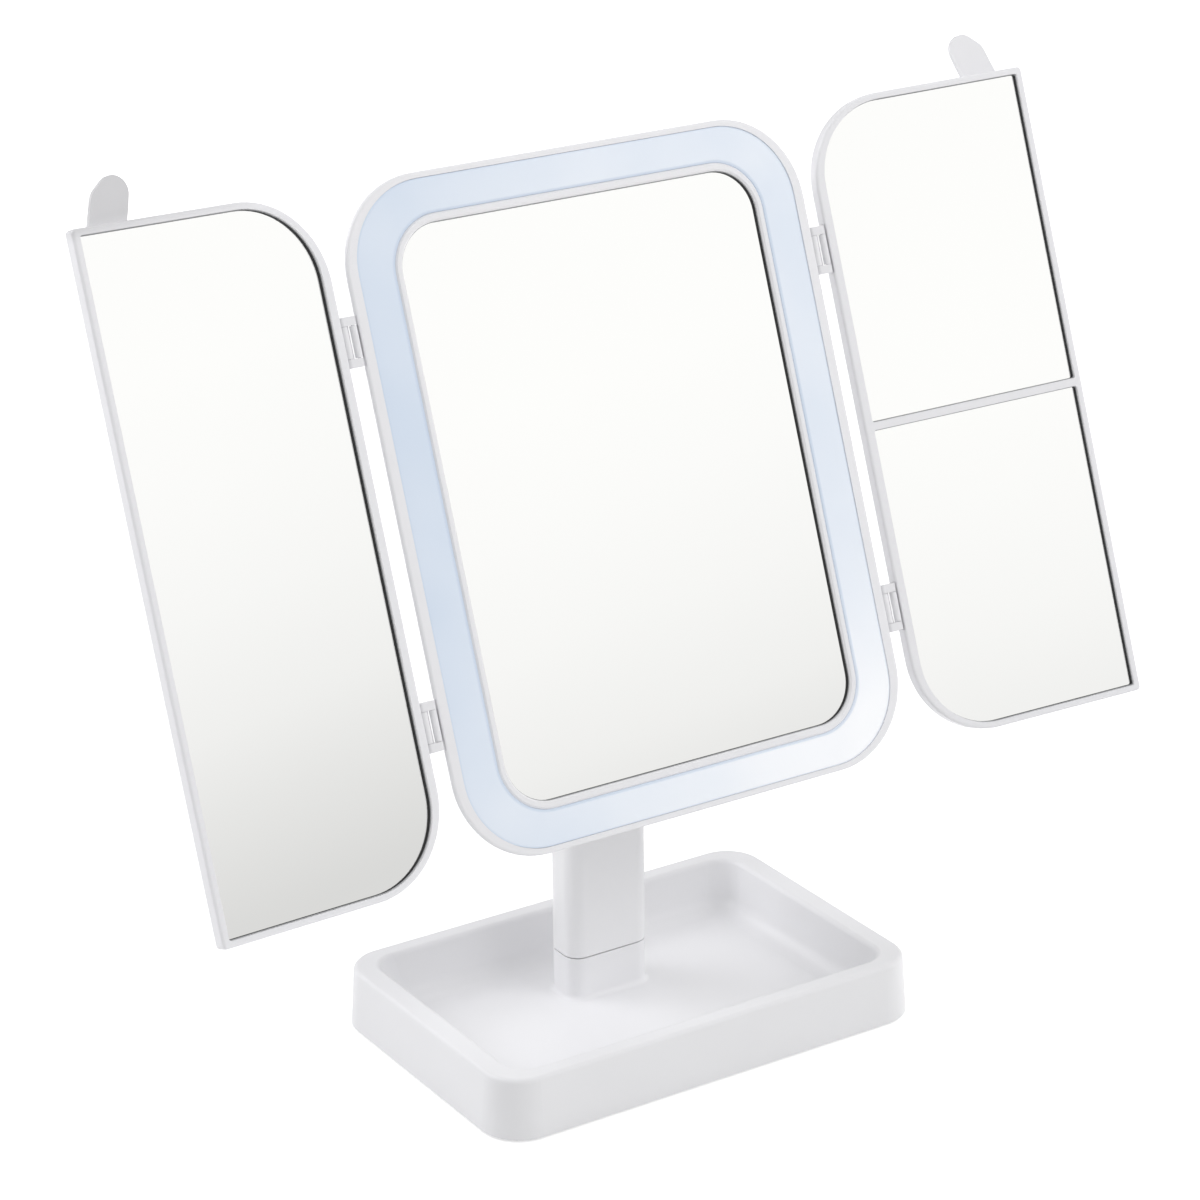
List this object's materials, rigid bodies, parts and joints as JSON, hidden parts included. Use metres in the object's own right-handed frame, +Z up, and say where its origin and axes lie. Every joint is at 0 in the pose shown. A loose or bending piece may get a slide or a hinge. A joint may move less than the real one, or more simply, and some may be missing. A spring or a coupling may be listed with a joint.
{
  "type": "tabletop trifold vanity mirror",
  "caption": "Trifold vanity mirror: lit centre panel on a tilting post, two side panels on double-axis hinge links, tray base.",
  "frame": {"origin": "middle of the resting face, on the table under the centre of the tray base", "axes": "+Z up, -Y towards the user (front of the mirrors), +X to the right as the user faces the mirror"},
  "size_m": [0.3876, 0.121, 0.3405],
  "materials": {
    "shell_white": "satin white ABS",
    "cover_grey": "matt",
    "steel_plate": "zinc-plated",
    "rubber_grey": "matt",
    "screw_steel": "zinc-plated",
    "diffuser_opal": "opal, satin",
    "mirror_glass": "silvered glass",
    "foam_tape": "matt foam",
    "board_white": "solder mask",
    "led_yellow": "phosphor",
    "board_green": "solder mask",
    "socket_steel": "nickel-plated",
    "switch_black": "matt",
    "battery_wrap": "film wrap",
    "pin_steel": "turned",
    "washer_steel": "spring steel",
    "button_grey": "satin",
    "hinge_pin": "bright"
  },
  "bodies": {
    "stand": {"base_tray": "shell_white", "base_bottom_cover": "cover_grey", "base_ballast_plate": "steel_plate", "rubber_feet": "rubber_grey", "base_cover_screws": "screw_steel", "post_screws": "screw_steel", "neck_post": "shell_white", "neck_rear_cover": "shell_white"},
    "center_panel": {"head_front_frame": "shell_white", "light_diffuser": "diffuser_opal", "mirror_panel": "shell_white", "center_mirror": "mirror_glass", "center_mirror_tape": "foam_tape", "head_rear_shell": "shell_white", "led_board": "board_white", "leds": "led_yellow", "main_board": "board_green", "main_board_screws": "screw_steel", "charging_socket": "socket_steel", "push_switch": "switch_black", "battery_pack": "battery_wrap", "case_screws": "screw_steel", "tilt_pin": "pin_steel", "tilt_nut": "pin_steel", "tilt_washers": "washer_steel", "tilt_caps": "shell_white"},
    "button": {"power_button": "button_grey", "switch_plunger": "switch_black"},
    "left_links": {"left_link_upper": "shell_white", "left_link_lower": "shell_white", "left_link_pins": "hinge_pin"},
    "right_links": {"right_link_upper": "shell_white", "right_link_lower": "shell_white", "right_link_pins": "hinge_pin"},
    "left_panel": {"left_wing_tray": "shell_white", "left_wing_mirror": "mirror_glass", "left_wing_tape": "foam_tape"},
    "right_panel": {"right_wing_tray": "shell_white", "right_wing_mirror_upper": "mirror_glass", "right_wing_tape_upper": "foam_tape", "right_wing_mirror_lower": "mirror_glass", "right_wing_tape_lower": "foam_tape"}
  },
  "joints": [
    {"name": "head_tilt", "type": "hinge", "parent": "stand", "child": "center_panel", "pos_m": [0, 0.0202, 0.2035], "axis": [-1, 0, 0], "range_deg": [-20.45, 69.5]},
    {"name": "left_link_fold", "type": "hinge", "parent": "center_panel", "child": "left_links", "pos_m": [-0.09525, -0.00477, 0.21281], "axis": [0, 0.3494, 0.937], "range_deg": [-3.2, 86.8]},
    {"name": "left_panel_fold", "type": "hinge", "parent": "left_links", "child": "left_panel", "pos_m": [-0.09904, -0.00497, 0.21289], "axis": [0, 0.3494, 0.937], "range_deg": [-3.2, 86.8]},
    {"name": "right_link_fold", "type": "hinge", "parent": "center_panel", "child": "right_links", "pos_m": [0.09525, -0.00477, 0.21281], "axis": [0, -0.3494, -0.937], "range_deg": [-3.2, 86.8]},
    {"name": "right_panel_fold", "type": "hinge", "parent": "right_links", "child": "right_panel", "pos_m": [0.09904, -0.00497, 0.21289], "axis": [0, -0.3494, -0.937], "range_deg": [-3.2, 86.8]},
    {"name": "power_button_press", "type": "slide", "parent": "center_panel", "child": "button", "axis": [0, -0.937, 0.3494], "range_m": [0, 0.0008], "stiffness_N_per_m": 1800, "springref_m": -0.0005}
  ]
}
